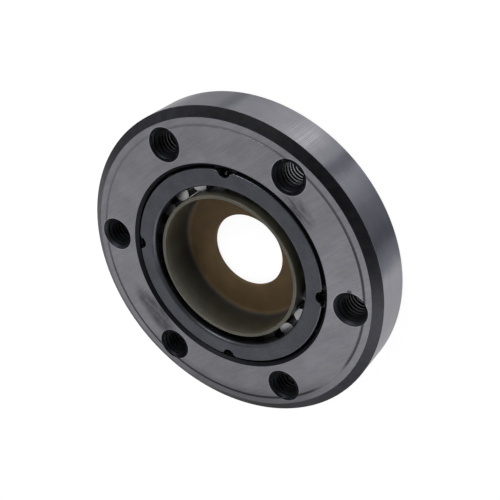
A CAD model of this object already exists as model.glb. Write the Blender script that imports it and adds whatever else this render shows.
"""The looks of a sprag type starter clutch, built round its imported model.

The clutch lies on its rear face and its axis is Z. Lengths are in millimetres, and MM turns them
into Blender's metres. The shaders measure places on the surfaces in millimetres too. Shares are
strengths that change round the axis: each has an angle from the X axis, in degrees, and a value.
"""

import logging
import math
from dataclasses import dataclass, replace
from enum import Enum
from functools import cached_property
from typing import Any, Union

import bmesh
import bpy
from mathutils import Matrix, Vector


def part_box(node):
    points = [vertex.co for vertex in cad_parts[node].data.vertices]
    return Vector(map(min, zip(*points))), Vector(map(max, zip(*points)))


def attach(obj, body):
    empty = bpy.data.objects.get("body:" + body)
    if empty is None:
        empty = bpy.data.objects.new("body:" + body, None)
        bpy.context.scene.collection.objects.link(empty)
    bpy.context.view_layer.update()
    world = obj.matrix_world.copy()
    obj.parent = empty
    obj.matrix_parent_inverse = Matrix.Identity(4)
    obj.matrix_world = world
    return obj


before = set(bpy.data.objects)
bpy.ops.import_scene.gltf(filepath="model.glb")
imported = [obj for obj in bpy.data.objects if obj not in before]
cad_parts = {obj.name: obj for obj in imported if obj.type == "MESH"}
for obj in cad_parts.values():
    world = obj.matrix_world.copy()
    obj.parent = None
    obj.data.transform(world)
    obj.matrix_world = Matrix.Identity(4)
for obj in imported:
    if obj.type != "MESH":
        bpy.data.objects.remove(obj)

MM = 0.001
FULL_TURN = 360.0
NOISE_MIDDLE = 0.5
BEVEL_SAMPLES = 6
EDGE_FROM = 0.004
EDGE_FULL = 0.06
SPOT_CORE = 0.25
SOFT = 0.04
FINE = 0.03
FINEST = 0.02
log = logging.getLogger("clutch")

Tone = tuple[int, int, int]
Colour = tuple[float, float, float, float]
Size = tuple[float, float, float]
Shares = tuple[tuple[float, float], ...]
Value = Union["Wire", float]
# Where a mask begins, where it is full, and how strong it is there if not 1
Rise = tuple[float, ...]


def linear(tone: Tone) -> Colour:
    """Turns a colour as a screen shows it, from 0 to 255, into linear light.

    Args:
        tone: Red, green and blue as shown on a screen.

    Returns:
        The same colour in linear light, with an alpha of 1.
    """
    parts = [c / 255 for c in tone]
    light = [c / 12.92 if c <= 0.04045 else ((c + 0.055) / 1.055) ** 2.4 for c in parts]
    return (light[0], light[1], light[2], 1.0)


def grey(level: float) -> Colour:
    """A grey in linear light."""
    return (level, level, level, 1.0)


class Carrier(Enum):
    """The bodies that new pieces ride on."""

    RACE = "race"


class Wire:
    """An output socket. Arithmetic on it adds Math nodes."""

    def __init__(self, shader: "Shader", socket: bpy.types.NodeSocket) -> None:
        """Keeps the socket and the shader that it belongs to.

        Args:
            shader: The shader whose tree holds the socket.
            socket: The output socket.
        """
        self.shader = shader
        self.socket = socket

    def sibling(self, name: int | str) -> "Wire":
        """Another output of the same node."""
        return Wire(self.shader, self.socket.node.outputs[name])

    def math(self, operation: str, *others: Value) -> "Wire":
        """Runs a Math node with this wire as its first value.

        Args:
            operation: The Math node's operation.
            others: The values after this one.

        Returns:
            The node's output.
        """
        return self.shader.math(operation, self, *others)

    def swing(self, reach: float) -> "Wire":
        """How far this wire is from the middle of a noise, times reach."""
        return (self - NOISE_MIDDLE) * reach

    def __add__(self, other: Value) -> "Wire":
        """This wire plus other."""
        return self.math("ADD", other)

    def __radd__(self, other: Value) -> "Wire":
        """Other plus this wire."""
        return self.math("ADD", other)

    def __sub__(self, other: Value) -> "Wire":
        """This wire minus other."""
        return self.math("SUBTRACT", other)

    def __rsub__(self, other: Value) -> "Wire":
        """Other minus this wire."""
        return self.shader.math("SUBTRACT", other, self)

    def __mul__(self, other: Value) -> "Wire":
        """This wire times other."""
        return self.math("MULTIPLY", other)

    def __truediv__(self, other: Value) -> "Wire":
        """This wire divided by other."""
        return self.math("DIVIDE", other)

    def __or__(self, other: Value) -> "Wire":
        """The larger of two masks."""
        return self.math("MAXIMUM", other)

    def __abs__(self) -> "Wire":
        """This wire without its sign."""
        return self.math("ABSOLUTE")


class Shader:
    """A node tree that is written as expressions."""

    def __init__(self, tree: bpy.types.NodeTree) -> None:
        """Empties the tree.

        Args:
            tree: The node tree of a material or of the world.
        """
        self.tree = tree
        tree.nodes.clear()

    def _new(self, kind: str, settings: dict[str, Any] | None,
             inputs: dict[Any, Any] | None) -> bpy.types.Node:
        """Adds a node: its settings first, then its inputs.

        Args:
            kind: The node's type.
            settings: The node's own settings. The key stops holds a ramp's places and colours.
            inputs: A value or a wire for each socket, by the socket's name or number.

        Returns:
            The node.
        """
        node = self.tree.nodes.new(kind)
        for name, value in (settings or {}).items():
            if name == "stops":
                self._set_stops(node.color_ramp, value)
            else:
                setattr(node, name, value)
        for name, value in (inputs or {}).items():
            if isinstance(value, Wire):
                self.tree.links.new(value.socket, node.inputs[name])
            else:
                node.inputs[name].default_value = value
        return node

    def add(self, kind: str, settings: dict[str, Any] | None = None,
            inputs: dict[Any, Any] | None = None, output: int | str = 0) -> Wire:
        """Adds a node and gives one of its outputs.

        Args:
            kind: The node's type.
            settings: The node's own settings.
            inputs: A value or a wire for each socket.
            output: The output socket that is wanted.

        Returns:
            That output.
        """
        return Wire(self, self._new(kind, settings, inputs).outputs[output])

    def close(self, kind: str, surface: Wire) -> None:
        """Joins a shader to the tree's output node."""
        self._new(kind, None, {"Surface": surface})

    @staticmethod
    def _set_stops(ramp: bpy.types.ColorRamp, stops: list[tuple[float, Colour]]) -> None:
        """Writes the stops of a ramp and eases between them.

        Args:
            ramp: The ramp, with stops of its own at 0 and 1.
            stops: Places and colours, in order, the first at 0 and the last at 1.
        """
        ramp.elements[0].color = stops[0][1]
        ramp.elements[1].color = stops[-1][1]
        for place, colour in stops[1:-1]:
            ramp.elements.new(place).color = colour
        ramp.interpolation = "EASE"

    def math(self, operation: str, *values: Value) -> Wire:
        """Adds a Math node.

        Args:
            operation: The node's operation.
            values: Its values.

        Returns:
            The node's output.
        """
        return self.add("ShaderNodeMath", {"operation": operation}, dict(enumerate(values)))

    def vector(self, operation: str, first: Wire, inputs: dict[Any, Any],
               output: int | str = 0) -> Wire:
        """Adds a Vector Math node.

        Args:
            operation: The node's operation.
            first: Its first vector.
            inputs: Its other inputs.
            output: The output that is wanted.

        Returns:
            That output.
        """
        sockets = {0: first, **inputs}
        return self.add("ShaderNodeVectorMath", {"operation": operation}, sockets, output)

    def split(self, vector: Wire) -> tuple[Wire, Wire, Wire]:
        """Splits a vector into X, Y and Z."""
        x = self.add("ShaderNodeSeparateXYZ", None, {0: vector})
        return x, x.sibling(1), x.sibling(2)

    def join(self, x: Value, y: Value, z: Value = 0.0) -> Wire:
        """Joins X, Y and Z into a vector."""
        return self.add("ShaderNodeCombineXYZ", None, {0: x, 1: y, 2: z})

    def stretch(self, vector: Wire, size: Size, turn: float = 0.0,
                middle: Size = (0.0, 0.0, 0.0)) -> Wire:
        """Moves a place to a pattern's middle, turns it about Z and divides it by a size.

        Args:
            vector: The place.
            size: How long the pattern's features are along its own X, Y and Z.
            turn: The direction of the pattern's X, in degrees.
            middle: Where the pattern's own zero lies.

        Returns:
            The place in the pattern.
        """
        return self.add("ShaderNodeMapping", {"vector_type": "TEXTURE"},
                        {"Vector": vector, "Location": middle,
                         "Rotation": (0.0, 0.0, math.radians(turn)), "Scale": size})

    def ease(self, value: Wire, low: Value, high: Value, top: float = 1.0) -> Wire:
        """Rises smoothly from 0 at low to top at high."""
        return self.add("ShaderNodeMapRange", {"interpolation_type": "SMOOTHSTEP"},
                        {"Value": value, "From Min": low, "From Max": high, "To Max": top})

    def above(self, value: Wire, limit: Value, soft: float = SOFT) -> Wire:
        """A mask that is 1 where value is above limit."""
        return self.ease(value - limit, -soft, soft)

    def below(self, value: Wire, limit: Value, soft: float = SOFT) -> Wire:
        """A mask that is 1 where value is below limit."""
        return 1.0 - self.above(value, limit, soft)

    def spot(self, place: Wire, middle: Size, size: Size, turn: float = 0.0) -> Wire:
        """A soft oval mask that is 1 in its core and 0 past its size."""
        inside = self.stretch(place, size, turn, middle)
        return self.ease(self.vector("LENGTH", inside, {}, "Value"), 1.0, SPOT_CORE)

    def rounded(self, radius: float) -> Wire:
        """The normal of the surface with its corners rounded."""
        return self.add("ShaderNodeBevel", {"samples": BEVEL_SAMPLES}, {"Radius": radius * MM})

    def edges(self, width: float) -> Wire:
        """A mask of the corners that stand out or in, by how rounding turns their normals."""
        plain = self.add("ShaderNodeNewGeometry", output="Normal")
        alike = self.vector("DOT_PRODUCT", self.rounded(width), {1: plain}, "Value")
        return self.ease(1.0 - alike, EDGE_FROM, EDGE_FULL)

    def mix(self, share: Value, first: Any, second: Any, blend: str = "MIX") -> Wire:
        """Mixes two colours: first where share is 0, second laid on it where share is 1."""
        return self.add("ShaderNodeMix", {"data_type": "RGBA", "blend_type": blend},
                        {0: share, 6: first, 7: second}, 2)

    def shade(self, colour: Any, factor: Value) -> Wire:
        """Multiplies a colour by a grey factor."""
        return self.mix(1.0, colour, self.join(factor, factor, factor), "MULTIPLY")

    def by_angle(self, turn: Wire, shares: Shares) -> Wire:
        """A share that changes smoothly with the angle round the axis.

        Args:
            turn: The angle, in radians from -pi to pi.
            shares: Angles in degrees from 0 to 360, in order, and the share at each. The last
                runs on into the first.

        Returns:
            The share.
        """
        (start, first), (end, last) = shares[0], shares[-1]
        seam = first + (last - first) * start / (start + FULL_TURN - end)
        inner = [(angle / FULL_TURN, share) for angle, share in shares]
        stops = [(place, grey(share)) for place, share in ((0.0, seam), *inner, (1.0, seam))]
        portion = (turn / (2 * math.pi)).math("FRACT")
        return self.split(self.add("ShaderNodeValToRGB", {"stops": stops}, {0: portion}))[0]


class Point:
    """The point that is shaded, in the clutch's frame. Its measures are made when first used."""

    def __init__(self, shader: Shader) -> None:
        """Reads the point's place.

        Args:
            shader: The shader to add nodes to.
        """
        metres = shader.add("ShaderNodeTexCoord", output="Object")
        self.shader = shader
        self.place = shader.vector("SCALE", metres, {"Scale": 1 / MM})

    @cached_property
    def parts(self) -> tuple[Wire, Wire, Wire]:
        """Its X, Y and Z."""
        return self.shader.split(self.place)

    @property
    def z(self) -> Wire:
        """Its height above the rear face."""
        return self.parts[2]

    @cached_property
    def radius(self) -> Wire:
        """Its distance from the clutch's axis."""
        x, y, _ = self.parts
        return (x * x + y * y).math("SQRT")

    @cached_property
    def turn(self) -> Wire:
        """Its angle round that axis, in radians from -pi to pi."""
        x, y, _ = self.parts
        return y.math("ARCTAN2", x)


@dataclass(frozen=True)
class Surface:
    """What a finish says of a point: its colour, roughness, metal and height."""

    colour: Wire
    roughness: Wire
    metal: Value
    height: Wire

    def under(self, other: "Surface", mask: Wire) -> "Surface":
        """Lays another surface over this one.

        Args:
            other: The surface that shows where mask is 1.
            mask: Where it shows.

        Returns:
            The two surfaces as one.
        """
        return Surface(mask.shader.mix(mask, self.colour, other.colour),
                       self.roughness * (1 - mask) + other.roughness * mask,
                       (1 - mask) * self.metal + mask * other.metal,
                       self.height * (1 - mask) + other.height * mask)

    def shaded(self, factor: Value) -> "Surface":
        """The same surface with its colour multiplied by a grey factor."""
        return replace(self, colour=self.colour.shader.shade(self.colour, factor))

    def tinted(self, mask: Wire, tone: Tone) -> "Surface":
        """The same surface in another tone where mask is 1."""
        return replace(self, colour=mask.shader.mix(mask, self.colour, linear(tone)))

    def worn(self, mask: Wire, tone: Tone, roughness: float = 0.3) -> "Surface":
        """The same surface, rubbed down to bare metal where mask is 1."""
        rough = self.roughness * (1 - mask) + mask * roughness
        return replace(self.tinted(mask, tone), roughness=rough)


@dataclass(frozen=True)
class Grain:
    """A layer of cloudy noise.

    The size is how long its features are, turn is the direction of its X in degrees, and detail
    and rough are the number and strength of its finer layers. Tone, gloss and height are how far
    it moves a finish's colour, roughness and relief.
    """

    size: Size | float
    turn: float = 0.0
    detail: float = 2.0
    rough: float = 0.5
    tone: float = 0.0
    gloss: float = 0.0
    height: float = 0.0

    def noise(self, place: Wire) -> Wire:
        """The noise at a place, from 0 to 1."""
        size = (self.size,) * 3 if isinstance(self.size, float) else self.size
        pattern = place.shader.stretch(place, size, self.turn)
        return place.shader.add("ShaderNodeTexNoise", {"noise_dimensions": "3D"}, {
            "Vector": pattern, "Scale": 1.0, "Detail": self.detail, "Roughness": self.rough})


class Layers:
    """The grains of a finish, laid over each other."""

    def __init__(self) -> None:
        """Starts with no grain."""
        self.laid: list[tuple[Grain, Wire]] = []

    def lay(self, grain: Grain, place: Wire) -> Wire:
        """Lays a grain on the others, reads it at a place and gives its noise."""
        noise = grain.noise(place)
        self.laid.append((grain, noise))
        return noise

    def tone(self, middle: Value) -> Wire:
        """The tone that the grains give round a middle."""
        return sum((noise.swing(grain.tone) for grain, noise in self.laid if grain.tone), middle)

    def gloss(self, middle: Value) -> Wire:
        """The roughness that they give round a middle."""
        return sum((noise.swing(grain.gloss) for grain, noise in self.laid if grain.gloss), middle)

    def height(self) -> Wire:
        """The relief that they give."""
        return sum((noise * grain.height for grain, noise in self.laid if grain.height), 0.0)

    def surface(self, dark: Tone, light: Tone, roughness: float, metal: float) -> Surface:
        """The surface that they make.

        Args:
            dark: Its tone where the grains are low.
            light: Its tone where they are high.
            roughness: Its roughness in the middle.
            metal: How metallic it is.

        Returns:
            The surface.
        """
        tone = self.tone(NOISE_MIDDLE)
        colour = tone.shader.mix(tone, linear(dark), linear(light))
        return Surface(colour, self.gloss(roughness), metal, self.height())


@dataclass(frozen=True)
class Skin:
    """The settings of a material that are the same all over it."""

    edge_r: float = 0.08
    relief: float = 0.02
    glance: float = 1.0
    subsurface: float = 0.0
    subsurface_radius: Size = (1.0, 0.6, 0.3)
    subsurface_depth: float = 1.5


class Paint:
    """Makes one material from a surface."""

    def __init__(self, name: str, skin: Skin) -> None:
        """Starts an empty material.

        Args:
            name: The material's name.
            skin: Its settings that are the same all over.
        """
        self.material = bpy.data.materials.new(name)
        self.material.use_nodes = True
        self.shader = Shader(self.material.node_tree)
        self.point = Point(self.shader)
        self.skin = skin

    def close(self, surface: Surface) -> bpy.types.Material:
        """Joins the surface to the material's output.

        Args:
            surface: The finished surface.

        Returns:
            The material.
        """
        skin = self.skin
        shader = self.shader
        normal = shader.add("ShaderNodeBump", None, {
            "Height": surface.height, "Distance": skin.relief * MM, "Strength": 1.0,
            "Normal": shader.rounded(skin.edge_r)})
        shader.close("ShaderNodeOutputMaterial", shader.add("ShaderNodeBsdfPrincipled", None, {
            "Base Color": surface.colour, "Roughness": surface.roughness,
            "Metallic": surface.metal, "Normal": normal, "Specular Tint": grey(skin.glance),
            "Subsurface Weight": skin.subsurface, "Subsurface Radius": skin.subsurface_radius,
            "Subsurface Scale": skin.subsurface_depth * MM}))
        return self.material


@dataclass(frozen=True)
class GroundSteel:
    """Bare steel with the marks of a grinding wheel, and a few scratches along and across."""

    light: Tone = (156, 155, 162)
    dark: Tone = (136, 135, 141)
    scratch: Tone = (184, 184, 192)
    roughness: float = 0.37
    streak: Grain = Grain((5.5, 0.75, 1.0), detail=4.0, rough=0.6, tone=1.3, gloss=0.1, height=0.5)
    hair: Grain = Grain((9.0, 0.14, 1.0), tone=0.6, height=0.4)
    cross: Grain = Grain((0.14, 5.0, 1.0), detail=1.0)
    cloud: Grain = Grain((9.0, 6.0, 6.0), detail=3.0, rough=0.55, tone=1.5, gloss=0.05)
    speck: Grain = Grain((0.7, 0.4, 0.4), rough=0.6, tone=0.7)
    along_rise: Rise = (0.68, 0.76)
    along_patch: Rise = (0.4, 0.6, 0.3)
    cross_rise: Rise = (0.66, 0.76)
    cross_patch: Rise = (0.54, 0.7, 0.35)

    def surface(self, lay: Wire) -> Surface:
        """Describes the steel.

        Args:
            lay: The place, with its X along the grinding marks.

        Returns:
            The surface.
        """
        shader = lay.shader
        layers = Layers()
        layers.lay(self.streak, lay)
        hair = layers.lay(self.hair, lay)
        cloud = layers.lay(self.cloud, lay)
        layers.lay(self.speck, lay)
        along = shader.ease(hair, *self.along_rise) * shader.ease(cloud, *self.along_patch)
        across = shader.ease(self.cross.noise(lay), *self.cross_rise)
        across = across * shader.ease(cloud, *self.cross_patch)
        steel = layers.surface(self.dark, self.light, self.roughness, 1.0)
        return steel.tinted(along | across, self.scratch)


@dataclass(frozen=True)
class BlackOxide:
    """Turned steel under a black oxide skin."""

    light: Tone = (66, 66, 71)
    dark: Tone = (42, 43, 48)
    roughness: float = 0.42
    metal: float = 0.9
    mottle: Grain = Grain(2.5, detail=4.0, rough=0.6, tone=1.3, gloss=0.2, height=0.4)
    line: Grain = Grain(0.18, detail=1.0, tone=0.5, height=0.6)

    def surface(self, point: Point) -> Surface:
        """The skin at a point, with its turned lines round the axis."""
        layers = Layers()
        layers.lay(self.mottle, point.place)
        layers.lay(self.line, point.shader.join(point.radius, point.z))
        return layers.surface(self.dark, self.light, self.roughness, self.metal)


@dataclass(frozen=True)
class DrawnSheet:
    """Dark steel sheet that was drawn and tumbled, and is rubbed at its edges."""

    light: Tone = (96, 98, 105)
    dark: Tone = (71, 73, 79)
    rubbed: Tone = (152, 152, 154)
    roughness: float = 0.38
    metal: float = 0.95
    cloud: Grain = Grain(6.0, detail=3.0, rough=0.55, tone=1.2, gloss=0.14, height=0.3)
    grain: Grain = Grain(0.5, rough=0.6, tone=1.0, gloss=0.08, height=0.5)
    ring: Grain = Grain(0.3, tone=0.6, height=0.2)
    edge_w: float = 0.12
    edge_patch: Rise = (0.3, 0.65, 0.7)

    def surface(self, point: Point) -> Surface:
        """The sheet at a point."""
        shader = point.shader
        layers = Layers()
        cloud = layers.lay(self.cloud, point.place)
        layers.lay(self.grain, point.place)
        layers.lay(self.ring, shader.join(point.radius, 0.0))
        sheet = layers.surface(self.dark, self.light, self.roughness, self.metal)
        rubbed = shader.edges(self.edge_w) * shader.ease(cloud, *self.edge_patch)
        return sheet.worn(rubbed, self.rubbed)


@dataclass(frozen=True)
class BrightSteel:
    """Hardened steel that is bright from rolling or from tumbling."""

    light: Tone = (206, 206, 209)
    dark: Tone = (160, 160, 164)
    roughness: float = 0.3
    grain: Grain = Grain(0.6, detail=3.0, rough=0.6, tone=1.0, gloss=0.16, height=1.0)
    cloud: Grain = Grain(3.0, tone=1.0)

    def surface(self, point: Point) -> Surface:
        """The steel at a point."""
        layers = Layers()
        layers.lay(self.grain, point.place)
        layers.lay(self.cloud, point.place)
        return layers.surface(self.dark, self.light, self.roughness, 1.0)


@dataclass(frozen=True)
class MouldedPlastic:
    """Smoky plastic: olive at its rim, darker down its wall and browner in its end wall."""

    rim: Tone = (80, 78, 67)
    wall: Tone = (55, 54, 43)
    root: Tone = (42, 39, 31)
    floor: Tone = (92, 73, 44)
    roughness: float = 0.36
    rim_fade: Rise = (0.02, 0.28)
    root_rise: Rise = (0.3, 0.8)
    dull_rise: Rise = (0.5, 0.9, 0.4)
    flow: Grain = Grain((4.0, 4.0, 7.0), detail=3.0, rough=0.55, tone=0.8, gloss=0.12, height=0.6)
    grain: Grain = Grain(0.35, detail=3.0, rough=0.6, tone=0.16, gloss=0.1, height=0.4)

    def surface(self, point: Point, depth: Wire, floor: Wire) -> Surface:
        """Describes the plastic.

        Args:
            point: The point on the surface.
            depth: How deep in the cup it is, from 0 at the rim to 1 at the end wall.
            floor: A mask that is 1 on the end wall.

        Returns:
            The surface.
        """
        shader = point.shader
        layers = Layers()
        layers.lay(self.flow, point.place)
        layers.lay(self.grain, point.place)
        wall = shader.mix(shader.ease(depth, *self.rim_fade), linear(self.rim), linear(self.wall))
        wall = shader.mix(shader.ease(depth, *self.root_rise), wall, linear(self.root))
        base = shader.mix(floor, wall, linear(self.floor))
        dull = shader.ease(depth, *self.dull_rise)
        return Surface(shader.shade(base, layers.tone(1.0)), layers.gloss(self.roughness + dull),
                       0.0, layers.height())


def link(thing: bpy.types.Object) -> bpy.types.Object:
    """Puts an object into the scene."""
    bpy.context.scene.collection.objects.link(thing)
    return thing


def make_piece(name: str, mesh: bmesh.types.BMesh,
               material: bpy.types.Material) -> bpy.types.Object:
    """Makes an object of a mesh, and frees the mesh.

    Args:
        name: The name of the object.
        mesh: Its mesh, in metres.
        material: Its material.

    Returns:
        The object.
    """
    data = bpy.data.meshes.new(name)
    mesh.to_mesh(data)
    mesh.free()
    data.materials.append(material)
    return link(bpy.data.objects.new(name, data))


def dress(nodes: list[str], material: bpy.types.Material) -> None:
    """Gives carried-over nodes their material.

    Args:
        nodes: The names of the nodes.
        material: Their material.
    """
    for name in nodes:
        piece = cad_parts[name]
        if not piece.material_slots:
            piece.data.materials.append(material)
        for slot in piece.material_slots:
            slot.material = material
        log.info("%s wears %s", name, material.name)


@dataclass(frozen=True)
class BoltCircle:
    """The holes of the race: where they are, and how wide at their bore and countersink."""

    radius: float = 37.5
    count: int = 6
    hole_r: float = 4.0
    sink_r: float = 4.93

    def feet(self) -> list[Vector]:
        """The feet of the holes' axes."""
        turns = [2 * math.pi * i / self.count for i in range(self.count)]
        return [self.radius * Vector((math.cos(turn), math.sin(turn), 0)) for turn in turns]

    def distance(self, point: Point) -> Wire:
        """How far a point is from the axis of the nearest hole."""
        step = 2 * math.pi / self.count
        near = point.turn - (point.turn / step).math("ROUND") * step
        along = point.radius * near.math("COSINE") * (2 * self.radius)
        return (point.radius * point.radius + self.radius * self.radius - along).math("SQRT")


@dataclass(frozen=True)
class HoleThreads:
    """The threads in the race's holes, one piece for all of them.

    The foot and the crest of the tooth are half widths in pitches, and so is the start, the
    distance of its middle from the race's faces.
    """

    holes: BoltCircle
    width: float
    name: str = "hole_threads"
    crest_r: float = 3.32
    pitch: float = 1.25
    seat: float = 0.03
    foot: float = 7 / 16
    crest: float = 1 / 8
    start: float = 0.25
    steps: int = 36
    bare: Tone = (176, 178, 182)
    bare_w: float = 0.1
    bare_soft: float = 0.05
    bare_depth: float = 2.0
    bare_shares: Shares = ((0, 0.04), (60, 0.04), (120, 0.1), (180, 0.25), (240, 0.75),
                           (300, 0.25))

    def _tooth(self, turn: float, middle: float) -> list[Vector]:
        """The four corners of the tooth at one place of its helix, kept inside the countersinks.

        Args:
            turn: The angle round the hole, in radians.
            middle: The height of the tooth's middle.

        Returns:
            The corners, from the lower root over the crest to the upper root.
        """
        root = self.holes.hole_r + self.seat
        end = self.holes.sink_r - self.holes.hole_r + self.seat
        foot = self.foot * self.pitch
        crest = self.crest * self.pitch
        corners = []
        for radius, rise in ((root, -foot), (self.crest_r, -crest), (self.crest_r, crest),
                             (root, foot)):
            height = min(max(middle + rise, end), self.width - end)
            reach = max(radius, self.holes.sink_r - min(height, self.width - height))
            corners.append(Vector((reach * math.cos(turn), reach * math.sin(turn), height)))
        return corners

    def _wind(self, mesh: bmesh.types.BMesh, centre: Vector) -> None:
        """Winds one thread into a hole.

        Args:
            mesh: The mesh to add to.
            centre: The foot of the hole's axis.
        """
        turns = self.width / self.pitch - 2 * self.start
        rings = []
        for step in range(round(turns * self.steps) + 1):
            turn = step / self.steps
            corners = self._tooth(2 * math.pi * turn, (turn + self.start) * self.pitch)
            rings.append([mesh.verts.new((centre + corner) * MM) for corner in corners])
        for lower, upper in zip(rings, rings[1:]):
            for i, j in ((0, 1), (1, 2), (2, 3), (3, 0)):
                mesh.faces.new((lower[i], upper[i], upper[j], lower[j])).smooth = True
                mesh.edges.get((lower[i], upper[i])).smooth = False
        mesh.faces.new(rings[0])
        mesh.faces.new(reversed(rings[-1]))

    def _steel(self) -> bpy.types.Material:
        """Cut steel under a black skin that is worn off the crests."""
        paint = Paint("cut_thread", Skin(edge_r=0.05, relief=0.01))
        shader = paint.shader
        point = paint.point
        crest = shader.below(self.holes.distance(point), self.crest_r + self.bare_w,
                             self.bare_soft)
        crest = crest * shader.ease(point.z, self.width - self.bare_depth, self.width / 2)
        crest = crest * shader.by_angle(point.turn, self.bare_shares)
        oxide = BlackOxide(light=(26, 27, 31), dark=(10, 11, 13), roughness=0.6)
        return paint.close(oxide.surface(point).worn(crest, self.bare))

    def build(self) -> None:
        """Winds the threads of all holes, on the race."""
        mesh = bmesh.new()
        for foot in self.holes.feet():
            self._wind(mesh, foot)
        bmesh.ops.recalc_face_normals(mesh, faces=mesh.faces)
        piece = make_piece(self.name, mesh, self._steel())
        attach(piece, Carrier.RACE.value)
        log.info("%s rides on the race", piece.name)


@dataclass(frozen=True)
class Mark:
    """A soft oval mark on the front face, with its X turned by some degrees."""

    x: float
    y: float
    size: Size
    turn: float

    def mask(self, place: Wire, top: float) -> Wire:
        """Where the mark is, on a face at the height top."""
        return place.shader.spot(place, (self.x, self.y, top), self.size, self.turn)


@dataclass(frozen=True)
class GroundFace:
    """The ground faces. The front one has a turned ring, a smudge, a brushed patch and a nick."""

    top: float
    rubbed_r: float
    lay_turn: float = 40.0
    face_shares: Shares = ((20, 0.96), (70, 0.86), (105, 0.84), (150, 1.01), (185, 1.13),
                           (225, 0.98), (310, 0.94))
    ring_r: float = 41.25
    ring_half: float = 0.37
    ring_soft: float = 0.15
    ring_dark: float = 0.75
    ring_shares: Shares = ((30, 0.75), (80, 1.0), (130, 0.9), (140, 0.0), (149, 0.0),
                           (157, 0.9), (195, 1.0), (225, 0.7), (265, 0.4), (320, 0.25))
    edge_rise: Rise = (38.0, 41.5, 0.34)
    edge_shares: Shares = ((50, 0.0), (85, 1.0), (125, 0.9), (155, 0.0))
    smudge: Mark = Mark(24.5, 23.6, (4.6, 12.5, 3.0), 44.0)
    smudge_dark: float = 0.32
    smear: Grain = Grain((4.5, 2.6, 3.0), turn=130.0, detail=1.0, rough=0.4)
    smear_least: float = 0.5
    smear_gain: float = 1.8
    fleck: Grain = Grain((2.0, 0.7, 1.0), turn=134.0)
    fleck_rise: Rise = (0.25, 0.75, 0.28)
    brushed: Mark = Mark(-21.4, -23.8, (4.2, 8.0, 3.0), 48.0)
    brushed_dark: float = 0.2
    stroke: Grain = Grain((2.4, 0.42, 1.0), turn=139.0)
    stroke_rise: Rise = (0.35, 0.65, 0.4)
    nick: Mark = Mark(-36.9, -5.1, (1.1, 0.8, 1.0), 20.0)
    nick_dark: float = 0.7
    rubbed_soft: float = 0.12
    rubbed_light: float = 0.3

    def _smudged(self, place: Wire) -> Wire:
        """How dark the oily smudge is: uneven at its outline, with flecks inside."""
        smear = self.smear_least + self.smear.noise(place) * self.smear_gain
        oily = (self.smudge.mask(place, self.top) * smear).math("MINIMUM", 1.0)
        fleck = place.shader.ease(self.fleck.noise(place), *self.fleck_rise)
        return oily * (self.smudge_dark + fleck)

    def _brushed(self, place: Wire) -> Wire:
        """How dark the brushed patch is, with its strokes."""
        stroke = place.shader.ease(self.stroke.noise(place), *self.stroke_rise)
        return self.brushed.mask(place, self.top) * (self.brushed_dark + stroke)

    def _turned(self, point: Point) -> Wire:
        """A factor that darkens the turned ring and the zone next to the chamfer."""
        shader = point.shader
        front = shader.above(point.z, self.top / 2)
        ring = shader.below(abs(point.radius - self.ring_r), self.ring_half, self.ring_soft)
        ring = ring * front * shader.by_angle(point.turn, self.ring_shares)
        zone = shader.ease(point.radius, *self.edge_rise)
        zone = zone * front * shader.by_angle(point.turn, self.edge_shares)
        return (1 - ring * self.ring_dark) * (1 - zone)

    def surface(self, point: Point, hole: Wire) -> Surface:
        """Describes the faces.

        Args:
            point: The point on the surface.
            hole: Its distance from the axis of the nearest hole.

        Returns:
            The surface.
        """
        shader = point.shader
        place = point.place
        rubbed = shader.below(hole, self.rubbed_r, self.rubbed_soft)
        factor = self._turned(point) * shader.by_angle(point.turn, self.face_shares)
        factor = factor * (1 + rubbed * self.rubbed_light)
        factor = factor * (1 - self._smudged(place)) * (1 - self._brushed(place))
        factor = factor * (1 - self.nick.mask(place, self.top) * self.nick_dark)
        lay = shader.stretch(place, (1, 1, 1), self.lay_turn)
        return GroundSteel().surface(lay).shaded(factor)


@dataclass(frozen=True)
class GroundRim:
    """The ground rim: brighter and darker bands along the axis, and a patch of scratches."""

    radius: float
    steel: GroundSteel = GroundSteel(
        light=(152, 151, 157),
        streak=replace(GroundSteel.streak, size=(14.0, 0.4, 1.0)),
        hair=replace(GroundSteel.hair, size=(30.0, 0.12, 1.0)),
        cross=replace(GroundSteel.cross, size=(0.12, 16.0, 1.0)))
    shares: Shares = ((30, 0.6), (75, 0.85), (120, 0.7), (165, 1.33), (190, 1.12), (198, 0.52),
                      (205, 0.27), (213, 0.38), (226, 0.75), (231, 0.48), (236, 0.84),
                      (245, 1.19), (252, 1.0), (268, 0.84), (272, 0.58), (277, 0.76),
                      (286, 0.77), (300, 1.25))
    band_tint: Tone = (224, 230, 250)
    wander: Grain = Grain((3.0, 9.0, 1.0), detail=3.0)
    wander_reach: float = 0.06
    scratch: Tone = (215, 215, 222)
    scratch_hair: Grain = Grain((0.13, 22.0, 1.0), detail=1.0)
    scratch_rise: Rise = (0.56, 0.64, 0.5)
    scratch_at: Size = (-116.0, 6.5, 0.0)
    scratch_size: Size = (9.0, 9.0, 1.0)

    def surface(self, point: Point) -> Surface:
        """Describes the rim.

        Args:
            point: The point on the surface.

        Returns:
            The surface.
        """
        shader = point.shader
        lay = shader.join(point.turn * self.radius, point.z)
        wander = self.wander.noise(lay).swing(self.wander_reach)
        share = shader.by_angle(point.turn + wander, self.shares)
        tint = shader.mix(share, linear(self.band_tint), grey(1.0))
        steel = self.steel.surface(lay).shaded(share)
        steel = replace(steel, colour=shader.mix(1.0, steel.colour, tint, "MULTIPLY"))
        degrees = shader.join(point.turn * math.degrees(1), point.z)
        patch = shader.spot(degrees, self.scratch_at, self.scratch_size)
        scratch = shader.ease(self.scratch_hair.noise(lay), *self.scratch_rise) * patch
        return steel.tinted(scratch, self.scratch)


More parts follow.
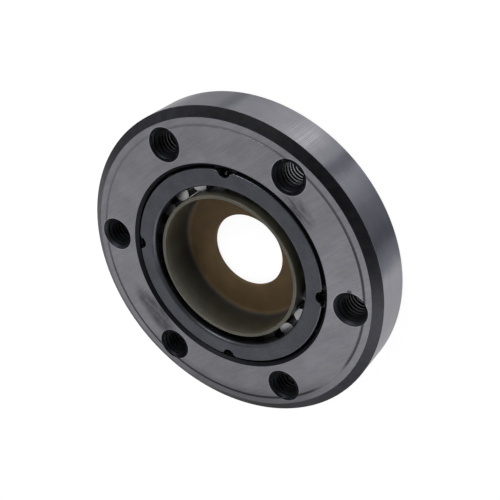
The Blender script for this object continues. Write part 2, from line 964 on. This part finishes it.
@dataclass
class OuterRace:
    """The ground ring with its threaded holes: bare faces, rim and track, and black elsewhere."""

    node: str = "outer_race"
    holes: BoltCircle = BoltCircle()
    chamfer_w: float = 2.7
    chamfer_slope: float = 30.0
    rear_chamfer: float = 0.4
    mouth_w: float = 0.95
    track_margin: float = 3.5
    lip_r: float = 27.4
    track_r: float = 29.95
    front_skim: float = 0.15
    skim: float = 0.05
    cone_w: float = 0.5
    bore_w: float = 0.3
    rubbed_w: float = 0.22
    wander: Grain = Grain(0.8)
    wander_reach: float = 0.08
    bare: Tone = (150, 150, 155)
    bare_w: float = 0.14
    bare_rise: Rise = (-0.02, 0.01, 0.6)
    track_roughness: float = 0.22
    skin_shares: Shares = ((20, 2.9), (48, 1.3), (75, 1.1), (90, 0.1), (108, 0.28), (127, 0.95),
                           (160, 0.7), (182, 0.9), (205, 0.5), (235, 0.4), (262, 0.3),
                           (300, 0.9), (322, 0.75), (345, 2.3))

    def __post_init__(self) -> None:
        """Reads the race's outer radius and width from its node."""
        low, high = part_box(self.node)
        self.radius = high.x / MM
        self.width = (high.z - low.z) / MM
        self.chamfer_h = self.chamfer_w * math.tan(math.radians(self.chamfer_slope))
        self.mouth_r = self.track_r + self.mouth_w

    def _blacked(self, point: Point, hole: Wire, worn: Wire) -> Surface:
        """The black skin, with slate countersinks and a darker track mouth and bores.

        Args:
            point: The point on the surface.
            hole: Its distance from the axis of the nearest hole.
            worn: Where the skin is rubbed off the edges.

        Returns:
            The surface.
        """
        shader = point.shader
        slate = BlackOxide(light=(51, 53, 59), dark=(34, 36, 41), roughness=0.5).surface(point)
        dark = BlackOxide(light=(34, 35, 39), dark=(20, 21, 24), roughness=0.5).surface(point)
        mouth = shader.below(point.radius, self.mouth_r)
        cone = shader.below(hole, self.holes.sink_r + self.cone_w)
        bore = shader.below(hole, self.holes.hole_r + self.bore_w, self.bore_w)
        skin = BlackOxide().surface(point).shaded(shader.by_angle(point.turn, self.skin_shares))
        skin = skin.under(slate, cone).under(dark, mouth | bore)
        return skin.worn(worn * (1 - mouth) * (1 - cone), self.bare)

    def _faces(self, point: Point, wide: Wire) -> Wire:
        """A mask of the two ground faces, without their holes.

        Args:
            point: The point on the surface.
            wide: Its distance from the clutch's axis, a little uneven.

        Returns:
            The mask.
        """
        shader = point.shader
        front = shader.above(point.z, self.width - self.front_skim, FINE)
        front = front * shader.below(wide, self.radius - self.chamfer_w)
        front = front * shader.above(wide, self.mouth_r)
        rear = shader.below(point.z, self.skim, FINE)
        rear = rear * shader.below(wide, self.radius - self.rear_chamfer)
        rear = rear * shader.above(wide, self.lip_r)
        return front | rear

    def steel(self) -> bpy.types.Material:
        """The race's material: ground faces, rim and track, black chamfers, mouth and holes."""
        paint = Paint("ground_and_blacked_steel", Skin(edge_r=0.12, relief=0.015, glance=0.6))
        shader = paint.shader
        point = paint.point
        hole = self.holes.distance(point)
        wander = self.wander.noise(point.place).swing(self.wander_reach)
        face = self._faces(point, point.radius + wander) * shader.above(hole, self.holes.sink_r)
        rim = shader.above(point.radius, self.radius - self.skim, FINEST)
        rim = rim * shader.below(point.z + wander, self.width - self.chamfer_h - self.skim, FINE)
        track = shader.below(abs(point.radius - self.track_r), self.skim, FINEST)
        track = track * shader.below(point.z, self.width - self.track_margin)

        worn = shader.edges(self.bare_w) * shader.ease(wander, *self.bare_rise)
        ground = GroundFace(self.width, self.holes.sink_r + self.rubbed_w)
        steel = self._blacked(point, hole, worn).under(ground.surface(point, hole), face)
        steel = steel.under(GroundRim(self.radius).surface(point), rim)
        lay = shader.join(point.turn * self.track_r, point.z)
        polished = GroundSteel(roughness=self.track_roughness).surface(lay)
        return paint.close(steel.under(polished, track))

    def build(self) -> None:
        """Dresses the race and winds its threads."""
        dress([self.node], self.steel())
        HoleThreads(self.holes, self.width).build()


@dataclass
class Cage:
    """The two cages with their ribbon spring and drag clips."""

    outer: str = "outer_cage"
    inner: str = "inner_cage"
    ribbon: str = "ribbon_spring"
    clip_count: int = 4
    roll_start: float = 25.2
    roll_r: float = 1.1
    roll_dark: float = 0.4

    def _sheet(self, name: str, finish: DrawnSheet, roll: float = 0.0) -> bpy.types.Material:
        """A material of drawn sheet.

        Args:
            name: The material's name.
            finish: The sheet's finish.
            roll: How much darker the sheet is inside the radius where its roll begins.

        Returns:
            The material.
        """
        paint = Paint(name, Skin(edge_r=0.1, relief=0.015))
        point = paint.point
        dim = paint.shader.ease(point.radius, self.roll_start, self.roll_start - self.roll_r, roll)
        return paint.close(finish.surface(point).shaded(1 - dim))

    def _strip(self, name: str, finish: BrightSteel) -> bpy.types.Material:
        """A material of thin rolled strip.

        Args:
            name: The material's name.
            finish: The strip's finish.

        Returns:
            The material.
        """
        paint = Paint(name, Skin(edge_r=0.04, relief=0.01))
        return paint.close(finish.surface(paint.point))

    def build(self) -> None:
        """Dresses the cage's pieces."""
        clips = [f"drag_clip_{i + 1}" for i in range(self.clip_count)]
        dress([self.outer], self._sheet("cage_sheet", DrawnSheet(), self.roll_dark))
        dress([self.inner], self._sheet("inner_cage_sheet", DrawnSheet(
            light=(36, 36, 39), dark=(22, 22, 24), rubbed=(56, 56, 60), roughness=0.5)))
        dress([self.ribbon], self._strip("spring_strip", BrightSteel(
            light=(96, 96, 99), dark=(66, 66, 69))))
        dress(clips, self._strip("clip_strip", BrightSteel(
            light=(104, 106, 113), dark=(76, 78, 84))))


@dataclass
class Sprags:
    """The wedging pieces between the two races. Their outer cams are dark with oil."""

    count: int = 20
    oily_r: float = 28.2
    oily_soft: float = 0.2
    oily_dark: float = 0.85
    clean_shares: Shares = ((10, 0.3), (60, 0.4), (124, 0.3), (136, 1.0), (164, 1.0), (171, 0.1),
                            (184, 0.1), (200, 0.4), (280, 0.6), (290, 1.0), (313, 1.0),
                            (322, 0.3))

    def build(self) -> None:
        """Dresses the sprags."""
        paint = Paint("sprag_steel", Skin(edge_r=0.15, relief=0.01))
        point = paint.point
        oil = paint.shader.above(point.radius, self.oily_r, self.oily_soft)
        clean = paint.shader.by_angle(point.turn, self.clean_shares)
        steel = BrightSteel(light=(200, 200, 202), dark=(152, 152, 156)).surface(point)
        dress([f"sprag_{i + 1:02d}" for i in range(self.count)],
              paint.close(steel.shaded((1 - oil * self.oily_dark) * clean)))


@dataclass
class Sleeve:
    """The moulded cup in the place of the inner race."""

    node: str = "sleeve"
    floor_t: float = 1.25
    fillet: float = 1.4
    wall_t: float = 1.05
    floor_soft: float = 0.5
    wall_soft: float = 0.6

    def build(self) -> None:
        """Dresses the sleeve."""
        low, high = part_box(self.node)
        rim = high.z / MM
        floor_top = low.z / MM + self.floor_t
        bore_r = high.x / MM - self.wall_t
        paint = Paint("smoky_plastic", Skin(edge_r=0.2, relief=0.02, subsurface=0.2))
        shader = paint.shader
        point = paint.point
        depth = (rim - point.z) / (rim - floor_top)
        floor = shader.below(point.z, floor_top + self.fillet / 2, self.floor_soft)
        floor = floor * shader.below(point.radius, bore_r - self.fillet / 3, self.wall_soft)
        plastic = MouldedPlastic().surface(point, depth, floor)
        dress([self.node], paint.close(plastic))


@dataclass(frozen=True)
class Lamp:
    """A square soft lamp that points at the clutch. Its lengths are in metres."""

    name: str
    toward: Size
    distance: float
    side: float
    watts: float

    def build(self, aim: Vector) -> None:
        """Hangs the lamp.

        Args:
            aim: The point that it lights.
        """
        light = bpy.data.lights.new(self.name, "AREA")
        light.shape = "SQUARE"
        light.size = self.side
        light.energy = self.watts
        lamp = link(bpy.data.objects.new(self.name, light))
        back = Vector(self.toward).normalized()
        lamp.location = aim + back * self.distance
        lamp.rotation_mode = "QUATERNION"
        lamp.rotation_quaternion = back.to_track_quat("Z", "Y")
        log.info("lamp %s", self.name)


@dataclass
class Studio:
    """The pale floor, the soft light and the camera. Lengths are in metres, but for the lens."""

    floor_side: float = 6.0
    floor_drop: float = 0.00005
    floor_lit: float = 0.85
    floor_catch: float = 0.2
    floor_glow: float = 0.89
    camera_at: Size = (-0.113828, -0.129617, 0.187911)
    camera_azimuth: float = -41.214
    camera_elevation: float = 47.282
    camera_roll: float = -129.988
    camera_near: float = 0.01
    camera_far: float = 20.0
    lens: float = 64.83
    ceiling_toward: Size = (-0.25, -0.25, 0.93)
    ceiling_rise: Rise = (0.3, 0.97)
    ceiling: float = 0.22
    walls: float = 0.72
    horizon_fade: Rise = (0.25, 0.0)
    lamp_aim: Size = (0.0, 0.0, 0.006)
    lamps: tuple[Lamp, ...] = (Lamp("key", (0.22, -0.77, 0.58), 0.9, 0.26, 3.0),
                               Lamp("side", (-0.42, 0.62, 0.66), 1.0, 0.6, 2.6))

    def build_camera(self) -> None:
        """Sets the camera at the photograph's place and roll."""
        azimuth = math.radians(self.camera_azimuth)
        elevation = math.radians(self.camera_elevation)
        roll = math.radians(self.camera_roll)
        back = Vector((math.sin(azimuth) * math.cos(elevation),
                       -math.cos(azimuth) * math.cos(elevation), math.sin(elevation)))
        level = Vector((0, 0, 1)).cross(back).normalized()
        upright = back.cross(level)
        right = level * math.cos(roll) + upright * math.sin(roll)
        up = back.cross(right)
        camera = bpy.data.cameras.new("photo_camera")
        camera.lens = self.lens
        camera.clip_start = self.camera_near
        camera.clip_end = self.camera_far
        holder = link(bpy.data.objects.new("photo_camera", camera))
        turn = Matrix((right, up, back)).transposed()
        holder.matrix_world = Matrix.Translation(self.camera_at) @ turn.to_4x4()
        bpy.context.scene.camera = holder

    def _floor_material(self) -> bpy.types.Material:
        """White to the camera and in reflections, pale to soft light, and clear from below."""
        material = bpy.data.materials.new("pale_floor")
        material.use_nodes = True
        shader = Shader(material.node_tree)
        path = shader.add("ShaderNodeLightPath", output="Is Camera Ray")
        seen = path | path.sibling("Is Glossy Ray") | path.sibling("Is Transmission Ray")
        plain = shader.add("ShaderNodeBsdfDiffuse", None, {"Color": grey(self.floor_lit)})
        catcher = shader.add("ShaderNodeBsdfDiffuse", None, {"Color": grey(self.floor_catch)})
        glow = shader.add("ShaderNodeEmission", None,
                          {"Color": grey(1.0), "Strength": self.floor_glow})
        white = shader.add("ShaderNodeAddShader", None, {0: catcher, 1: glow})
        top = shader.add("ShaderNodeMixShader", None, {0: seen, 1: plain, 2: white})
        under = shader.add("ShaderNodeNewGeometry", output="Backfacing")
        clear = shader.add("ShaderNodeBsdfTransparent")
        both = shader.add("ShaderNodeMixShader", None, {0: under, 1: top, 2: clear})
        shader.close("ShaderNodeOutputMaterial", both)
        return material

    def build_floor(self) -> None:
        """Lays the floor, which keeps the clutch's shadow."""
        half = self.floor_side / 2
        mesh = bmesh.new()
        mesh.faces.new([mesh.verts.new((sx * half, sy * half, -self.floor_drop))
                        for sx, sy in ((-1, -1), (1, -1), (1, 1), (-1, 1))])
        make_piece("floor", mesh, self._floor_material())

    def build_world(self) -> None:
        """Surrounds the clutch with a soft room: white at the horizon and dim overhead."""
        world = bpy.data.worlds.new("studio")
        bpy.context.scene.world = world
        world.use_nodes = True
        shader = Shader(world.node_tree)
        way = shader.add("ShaderNodeTexCoord", output="Generated")
        overhead = tuple(Vector(self.ceiling_toward).normalized())
        facing = shader.vector("DOT_PRODUCT", way, {1: overhead}, "Value")
        rise = shader.split(way)[2]
        room = shader.mix(shader.ease(facing, *self.ceiling_rise), grey(self.walls),
                          grey(self.ceiling))
        glow = shader.mix(shader.ease(rise, *self.horizon_fade), room, grey(1.0))
        shader.close("ShaderNodeOutputWorld",
                     shader.add("ShaderNodeBackground", None, {"Color": glow, "Strength": 1.0}))

    def build(self) -> None:
        """Builds the camera, the floor and the light."""
        bpy.context.scene.view_settings.view_transform = "Standard"
        self.build_camera()
        self.build_floor()
        self.build_world()
        for lamp in self.lamps:
            lamp.build(Vector(self.lamp_aim))


def main() -> None:
    """Builds the studio and dresses the clutch."""
    logging.basicConfig(level=logging.INFO, format="%(message)s")
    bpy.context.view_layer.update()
    Studio().build()
    for part in (OuterRace(), Cage(), Sprags(), Sleeve()):
        part.build()


if __name__ == "__main__":
    main()
